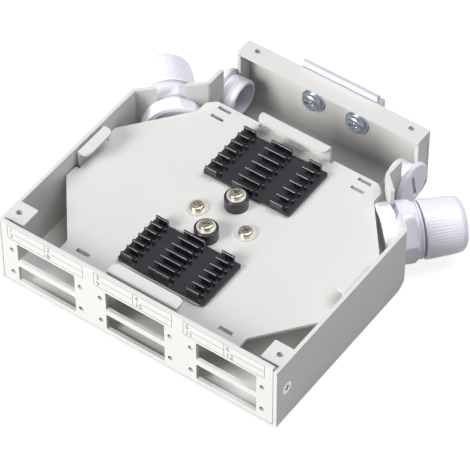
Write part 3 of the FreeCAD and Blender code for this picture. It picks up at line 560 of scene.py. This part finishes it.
def floor_material():
    """Grey studio table that is white towards the eye and still takes the shadow under the front edge."""
    made = bpy.data.materials.new("studio_floor")
    made.use_nodes = True
    tree = made.node_tree
    tree.nodes.clear()
    rays = add(tree, "ShaderNodeLightPath")
    shown = add(tree, "ShaderNodeMath", {0: rays.outputs["Is Camera Ray"], 1: rays.outputs["Is Glossy Ray"]},
                operation="MAXIMUM")
    seen = add(tree, "ShaderNodeMath", {0: shown.outputs[0], 1: rays.outputs["Is Transmission Ray"]},
               operation="MAXIMUM")
    paper = add(tree, "ShaderNodeBsdfDiffuse", {"Color": srgb(FLOOR_GREY)})
    pale = add(tree, "ShaderNodeBsdfDiffuse", {"Color": srgb(FLOOR_SEEN_GREY)})
    glow = add(tree, "ShaderNodeEmission", {"Color": srgb(PLAIN_WHITE), "Strength": FLOOR_GLOW})
    bright = add(tree, "ShaderNodeAddShader", {0: pale.outputs[0], 1: glow.outputs[0]})
    pick = add(tree, "ShaderNodeMixShader", {0: seen.outputs[0], 1: paper.outputs[0], 2: bright.outputs[0]})
    add(tree, "ShaderNodeOutputMaterial", {"Surface": pick.outputs[0]})
    return made


def make_floor():
    """Table under the tray, a hair below its underside."""
    half = FLOOR_SIZE / 2
    mesh = bpy.data.meshes.new("floor")
    low = -FLOOR_GAP * MM
    mesh.from_pydata([(-half, -half, low), (half, -half, low), (half, half, low), (-half, half, low)], [],
                     [(0, 1, 2, 3)])
    mesh.materials.append(floor_material())
    new_object("floor", mesh)


def make_sky():
    """White behind the object, a dim room for diffuse rays, and pale room walls in what shines."""
    world = bpy.data.worlds.new("studio")
    bpy.context.scene.world = world
    world.use_nodes = True
    tree = world.node_tree
    tree.nodes.clear()
    rays = add(tree, "ShaderNodeLightPath")
    seen = add(tree, "ShaderNodeMath", {0: rays.outputs["Is Camera Ray"],
                                        1: rays.outputs["Is Transmission Ray"]}, operation="MAXIMUM")
    soft = add(tree, "ShaderNodeBackground", {"Color": srgb(SKY_SOFT_TINT), "Strength": SKY_SOFT})
    mirrored = add(tree, "ShaderNodeBackground", {"Color": srgb(SKY_MIRRORED_TINT),
                                                  "Strength": SKY_MIRRORED})
    dim = add(tree, "ShaderNodeMixShader", {0: rays.outputs["Is Glossy Ray"], 1: soft.outputs[0],
                                            2: mirrored.outputs[0]})
    white = add(tree, "ShaderNodeBackground", {"Color": srgb(PLAIN_WHITE), "Strength": SKY_SEEN})
    pick = add(tree, "ShaderNodeMixShader", {0: seen.outputs[0], 1: dim.outputs[0], 2: white.outputs[0]})
    add(tree, "ShaderNodeOutputWorld", {"Surface": pick.outputs[0]})


def make_lamp(name, bearing, height, distance, size, level, tint):
    """Square lamp of one tint that gives the stated share of full daylight on a face turned to it.
    Such a face gets the power over pi times the distance squared, and full daylight is pi of that."""
    bearing = math.radians(bearing)
    height = math.radians(height)
    flat = math.cos(height)
    toward = Vector((flat * math.sin(bearing), -flat * math.cos(bearing), math.sin(height)))
    data = bpy.data.lights.new(name, "AREA")
    data.size = size
    data.color = srgb(tint)[:3]
    data.energy = level * (math.pi * distance) ** 2
    lamp = new_object(name, data)
    lamp.location = toward * distance
    lamp.rotation_euler = toward.to_track_quat("Z", "Y").to_euler()


def make_camera():
    """Camera at the photograph's place and angle."""
    data = bpy.data.cameras.new("camera")
    data.lens = CAMERA_LENS
    data.sensor_width = SENSOR_WIDTH
    data.clip_end = CAMERA_REACH * MM
    camera = new_object("camera", data)
    place = Vector(CAMERA_PLACE) * MM
    away = (place - Vector(CAMERA_TARGET) * MM).normalized()
    turn = away.to_track_quat("Z", "Y").to_matrix() @ Matrix.Rotation(math.radians(CAMERA_ROLL), 3, "Z")
    camera.matrix_world = Matrix.Translation(place) @ turn.to_4x4()
    bpy.context.scene.camera = camera


def paint_nodes(nodes, finishes):
    """Gives every CAD node its finish."""
    for name, piece in nodes.items():
        finish = finishes[finish_of(name)]
        for slot in piece.material_slots:
            slot.material = finish
        if not piece.material_slots:
            piece.data.materials.append(finish)


def main():
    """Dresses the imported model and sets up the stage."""
    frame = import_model()
    finishes = make_materials()
    paint_nodes(frame["nodes"], finishes)
    ribs = rib_tree(finishes["nylon"])
    ridges = helix_tree("thread_ridge", finishes["nylon"])
    joints = {joint["name"]: joint for joint in frame["joints"]}
    for side, name in ((-1, "left"), (1, "right")):
        dome_ribs(name, joints["dome_turn_" + name], ribs)
        thread_ridge("plug_thread_" + name, ridges, PLUG_THREAD_RADIUS, PLUG_THREAD_SPAN,
                     plug_frame(side, name))
    latch_spring(helix_tree("spring_coil", finishes["wire"]))
    panel_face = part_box("front_panel")[0].y
    label_lines(panel_face, finishes["ink"])
    label_digits(panel_face, finishes["ink"])
    make_floor()
    make_sky()
    for name, spec in LAMPS.items():
        make_lamp(name, *spec)
    make_camera()
    bpy.context.scene.view_settings.view_transform = "Standard"


main()
